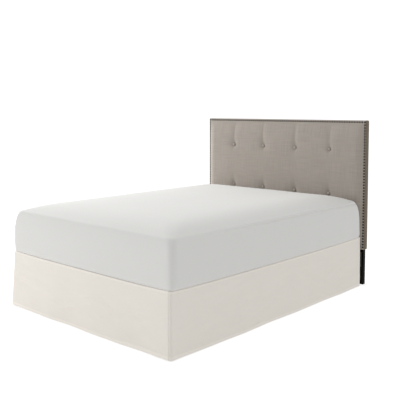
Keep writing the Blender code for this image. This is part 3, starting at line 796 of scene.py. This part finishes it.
def button_pull(x, z):
    """Each button's dimple falls off exponentially, as does a valley beside the line running up from it."""
    total = np.zeros(np.broadcast(x, z).shape)
    for number, (bx, bz) in enumerate(BUTTONS):
        away = np.hypot(x - bx, z - bz)
        away = np.maximum(away - BUTTON_RADIUS - 0.001, 0)
        dimple = DIMPLE_DEPTH * sum(share * np.exp(-away / reach) for share, reach in DIMPLE_FALL)
        up = z - bz
        length = VALLEY_TOP_ROW if bz == BUTTON_ROWS[1] else VALLEY_LOW_ROW
        lean = 0.05 * math.sin(2.1 * number) * np.clip(up, 0, 1)
        off_line = np.sqrt((x - bx - lean) ** 2 + 0.005**2) - 0.005
        width = 0.016 + 0.06 * np.clip(up, 0, 1)
        valley = VALLEY_DEPTH * np.exp(-off_line / width) * ease(up / 0.03) * (1 - ease(up / length))
        below = BELOW_DEPTH * np.exp(-np.abs(x - bx) / 0.014) * ease(-up / 0.02) * (1 - ease(-up / 0.07))
        total = np.maximum(total, dimple) + valley + below
    return total


def edge_turn(edge):
    """How far back the cloth turns near the board's edge: a quarter circle of radius EDGE_ROUND."""
    return EDGE_ROUND * (1 - np.sqrt(1 - np.clip(1 - edge / EDGE_ROUND, 0, 1) ** 2))


# %% Headboard surface
def board_lines(low, high, spacing):
    """Grid lines: six close to each edge, where the cloth turns round it, and even ones between."""
    near = np.array([0.0, 0.0006, 0.0016, 0.003, 0.005, 0.009])
    inner = np.linspace(low + 0.013, high - 0.013, round((high - low - 0.026) / spacing) + 1)
    return np.concatenate([low + near, inner, high - near[::-1]])


def round_corners(x, z):
    """In each corner square (a, b) moves to (a sqrt(1 - b^2/2), b sqrt(1 - a^2/2)): a quarter disc."""
    middle = (BOARD_BOTTOM + BOARD_TOP) / 2
    a = np.clip((np.abs(x) - BOARD_HALF + BOARD_CORNER) / BOARD_CORNER, 0, 1)
    b = np.clip((np.abs(z - middle) - (BOARD_TOP - BOARD_BOTTOM) / 2 + BOARD_CORNER) / BOARD_CORNER, 0, 1)
    x = x - np.sign(x) * BOARD_CORNER * (a - a * np.sqrt(1 - b * b / 2))
    z = z - np.sign(z - middle) * BOARD_CORNER * (b - b * np.sqrt(1 - a * a / 2))
    return x, z


def headboard_surface(spacing=0.0052):
    """Front grid, then its rim carried straight back to the board's back face and closed there by a fan."""
    xs, zs = board_lines(-BOARD_HALF, BOARD_HALF, spacing), board_lines(BOARD_BOTTOM, BOARD_TOP, spacing)
    x, z = np.meshgrid(xs, zs, indexing="ij")
    edge = np.minimum(BOARD_HALF - np.abs(x), np.minimum(z - BOARD_BOTTOM, BOARD_TOP - z))
    y = Y_BOARD_FRONT - pad_height(x, z) + button_pull(x, z) * ease(pad_height(x, z) / 0.01) + edge_turn(edge)
    px, pz = round_corners(x, z)
    front = np.stack([px, y, pz], -1).reshape(-1, 3)
    rows, columns = len(xs), len(zs)
    index = np.arange(rows * columns).reshape(rows, columns)
    rim = np.concatenate([index[:, 0], index[-1, 1:], index[-2::-1, -1], index[0, -2:0:-1]])
    back_edge = front[rim]
    back = BOARD_HIGH.y - Y_BOARD_FRONT
    depth = np.array([0.016, 0.028, 0.040, back - BACK_BEVEL, back])
    shrink = np.array([0, 0, 0, 0, BACK_BEVEL])
    rings = []
    for d, s in zip(depth, shrink):
        ring = back_edge.copy()
        ring[:, 1] = Y_BOARD_FRONT + d
        ring[:, 0] -= np.sign(ring[:, 0]) * s
        ring[:, 2] -= np.sign(ring[:, 2] - (BOARD_TOP + BOARD_BOTTOM) / 2) * s
        rings.append(ring)
    points = np.concatenate([front, *rings, [[0, BOARD_HIGH.y, (BOARD_TOP + BOARD_BOTTOM) / 2]]])
    faces = grid_quads(rows, columns)[:, ::-1].tolist()
    loops = [rim] + [len(front) + k * len(rim) + np.arange(len(rim)) for k in range(len(rings))]
    for first, second in zip(loops[:-1], loops[1:]):
        faces += np.stack([first, second, np.roll(second, -1), np.roll(first, -1)], -1).tolist()
    last = loops[-1]
    faces += np.stack([last, np.full(len(last), len(points) - 1), np.roll(last, -1)], -1).tolist()
    return points, faces


board_points, board_faces = headboard_surface()
board_uv = np.stack([board_points[:, 0], board_points[:, 2]], -1)
headboard = make_piece("padded_headboard", board_points, board_faces, linen, board_uv)
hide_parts("headboard")
print("headboard faces", len(board_faces))


# %% [markdown]
# ## Buttons and nail heads
# A covered button is a full dome, almost half a ball, and a nail head is a smaller and flatter one. Both
# are a profile turned round an axis that points out of the board. All the nail heads are one mesh, placed
# by adding each centre to the same dome.

# %% Domes
def dome(profile, sides):
    """Turns (radius, height) stations about the Y axis, outwards being -Y, and closes both ends."""
    angle = 2 * math.pi * np.arange(sides) / sides
    radius, height = np.array(profile).T
    ring = np.stack([radius[:, None] * np.cos(angle), np.broadcast_to(-height[:, None], (len(radius), sides)),
                     radius[:, None] * np.sin(angle)], -1)
    points, faces = close_rings(ring)
    return points, np.array([list(f) + [f[-1]] * (4 - len(f)) for f in faces])


def many_domes(centres, profile, sides):
    """The same dome at every centre, as one array of points and one list of faces."""
    points, faces = dome(profile, sides)
    all_points = (np.asarray(centres)[:, None] + points[None]).reshape(-1, 3)
    all_faces = (faces[None] + (np.arange(len(centres)) * len(points))[:, None, None]).reshape(-1, 4)
    return all_points, [list(dict.fromkeys(f)) for f in all_faces.tolist()]


def seat(x, z, depth=0.0):
    """How far back the linen lies at a place on the front of the board."""
    x, z = np.asarray(x, float), np.asarray(z, float)
    edge = np.minimum(BOARD_HALF - np.abs(x), np.minimum(z - BOARD_BOTTOM, BOARD_TOP - z))
    return Y_BOARD_FRONT - pad_height(x, z) + edge_turn(edge) + depth


# %% Covered buttons
button_xz = np.array(BUTTONS)
button_centres = np.stack([button_xz[:, 0], seat(*button_xz.T, DIMPLE_DEPTH - 0.0004), button_xz[:, 1]], -1)
button_stations = ((0.55, -0.001), (0.88, 0.0), (0.985, 0.0016), (1.0, 0.0036),
                   (0.95, 0.0064), (0.82, 0.0090), (0.60, 0.0108), (0.30, 0.0118))
button_profile = [(BUTTON_RADIUS * r, h) for r, h in button_stations]
button_points, button_faces = many_domes(button_centres, button_profile, 20)
buttons = make_piece("covered_buttons", button_points, button_faces, linen, button_points[:, [0, 2]])
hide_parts(*[f"button_{k}" for k in range(1, 9)])
print("buttons", len(BUTTONS), "faces", len(button_faces))

# %% Nail heads
NAIL_PITCH, NAIL_RADIUS, NAIL_IN = 0.0215, 0.0073, 0.0126
nail_side, nail_top, nail_low = BOARD_HALF - NAIL_IN, BOARD_TOP - NAIL_IN - 0.0012, BOARD_BOTTOM + 0.020
top_x = np.linspace(-nail_side, nail_side, round(2 * nail_side / NAIL_PITCH) + 1)
side_z = np.linspace(nail_low, nail_top, round((nail_top - nail_low) / NAIL_PITCH) + 1)[:-1]
nail_xz = np.concatenate([np.stack([top_x, np.full_like(top_x, nail_top)], -1),
                          *[np.stack([np.full_like(side_z, s * nail_side), side_z], -1) for s in (-1, 1)]])
nail_centres = np.stack([nail_xz[:, 0], seat(*nail_xz.T), nail_xz[:, 1]], -1)
nail_stations = ((0.9, -0.0006), (1.0, 0.0002), (0.86, 0.0019), (0.5, 0.0031))
nail_profile = [(NAIL_RADIUS * r, h) for r, h in nail_stations]
nail_points, nail_faces = many_domes(nail_centres, nail_profile, 8)
make_piece("nail_heads", nail_points, nail_faces, nail_metal)
print("nail heads", len(nail_xz), "faces", len(nail_faces))

# %% [markdown]
# ## Light, floor and camera
# Studio pictures of bedding are lit almost evenly. Two broad lamps stand at the left, a low one by the foot
# of the bed and a higher one beside it, so the foot is lighter than the right side and the buttons' hollows
# are shaded. A Sun would not fade across the bed, and a lamp close by would burn out the near corner. The
# surround is white to the eye, but gives a little more light from behind, from above and from the left. The
# floor glows, like a light table, so that shadows stay faint.

# %% Floor
FLOOR_HALF, FLOOR_COLOUR, FLOOR_GLOW, GLOW_SEEN = 30.0, (0.45, 0.45, 0.45, 1), 0.42, 0.30
floor_material = bpy.data.materials.new("pale floor")
floor_material.use_nodes = True
floor_inputs = floor_material.node_tree.nodes["Principled BSDF"].inputs
floor_inputs["Base Color"].default_value = FLOOR_COLOUR
floor_inputs["Roughness"].default_value = 0.9
floor_inputs["Emission Color"].default_value = (1, 1, 1, 1)
floor_seen = floor_material.node_tree.nodes.new("ShaderNodeLightPath").outputs["Is Camera Ray"]
floor_glow = add_math(floor_material.node_tree, "MULTIPLY_ADD", floor_seen, GLOW_SEEN, FLOOR_GLOW)
floor_material.node_tree.links.new(floor_glow, floor_inputs["Emission Strength"])
floor_mesh = bpy.data.meshes.new("floor")
floor_corners = [(-FLOOR_HALF, -FLOOR_HALF, 0), (FLOOR_HALF, -FLOOR_HALF, 0),
                 (FLOOR_HALF, FLOOR_HALF, 0), (-FLOOR_HALF, FLOOR_HALF, 0)]
floor_mesh.from_pydata(floor_corners, [], [(0, 1, 2, 3)])
floor_mesh.materials.append(floor_material)
floor = bpy.data.objects.new("floor", floor_mesh)
bpy.context.scene.collection.objects.link(floor)


# %% Lamps
def add_lamp(name, place, target, size, energy):
    """A square area lamp at a place, turned to face its target."""
    lamp = bpy.data.objects.new(name, bpy.data.lights.new(name, "AREA"))
    lamp.data.size, lamp.data.energy = size, energy
    lamp.location = place
    back = np.subtract(place, target)
    lamp.rotation_euler = (math.atan2(np.hypot(*back[:2]), back[2]), 0, math.atan2(back[0], -back[1]))
    bpy.context.scene.collection.objects.link(lamp)


LAMP_SIZE, FOOT_LAMP_WATTS, SIDE_LAMP_WATTS = 2.0, 58.0, 92.0
add_lamp("foot lamp", (-3.6, -4.6, 1.3), (0, -0.5, 0.5), LAMP_SIZE, FOOT_LAMP_WATTS)
add_lamp("side lamp", (-3.8, 0.5, 2.1), (0, 0.3, 0.7), LAMP_SIZE, SIDE_LAMP_WATTS)
print("lamps", [lamp.name for lamp in bpy.data.lights])

# %% Surround
SURROUND_LIGHT, SURROUND_SEEN, SURROUND_LEAN = 0.70, 1.1, (-0.16, 0.25, 0.14)
world = bpy.data.worlds.new("pale surround")
world.use_nodes = True
background = world.node_tree.nodes["Background"]
background.inputs["Color"].default_value = (1, 1, 1, 1)
toward = world.node_tree.nodes.new("ShaderNodeVectorMath")
toward.operation = "DOT_PRODUCT"
toward.inputs[1].default_value = SURROUND_LEAN
direction = world.node_tree.nodes.new("ShaderNodeTexCoord").outputs["Generated"]
world.node_tree.links.new(direction, toward.inputs[0])
lean = add_math(world.node_tree, "ADD", toward.outputs["Value"], SURROUND_LIGHT)
seen = world.node_tree.nodes.new("ShaderNodeLightPath").outputs["Is Camera Ray"]
seen_white = add_math(world.node_tree, "MULTIPLY", seen, SURROUND_SEEN)
strength = add_math(world.node_tree, "MAXIMUM", lean, seen_white)
world.node_tree.links.new(strength, background.inputs["Strength"])
bpy.context.scene.world = world
bpy.context.scene.view_settings.view_transform = "Standard"
print("surround light", SURROUND_LIGHT, "leaning", SURROUND_LEAN)

# %% Camera
camera = bpy.data.objects.new("camera", bpy.data.cameras.new("camera"))
camera.location = (3.214, Y_MIDDLE - 3.463, 1.362)
camera.rotation_euler = (math.radians(86), 0, math.radians(42.52))
camera.data.lens, camera.data.sensor_width = 59.5, 36.0
camera.data.shift_x, camera.data.shift_y = 0.0018, -0.116
bpy.context.scene.collection.objects.link(camera)
bpy.context.scene.camera = camera
print("camera", tuple(round(v, 3) for v in camera.location), "lens", camera.data.lens)
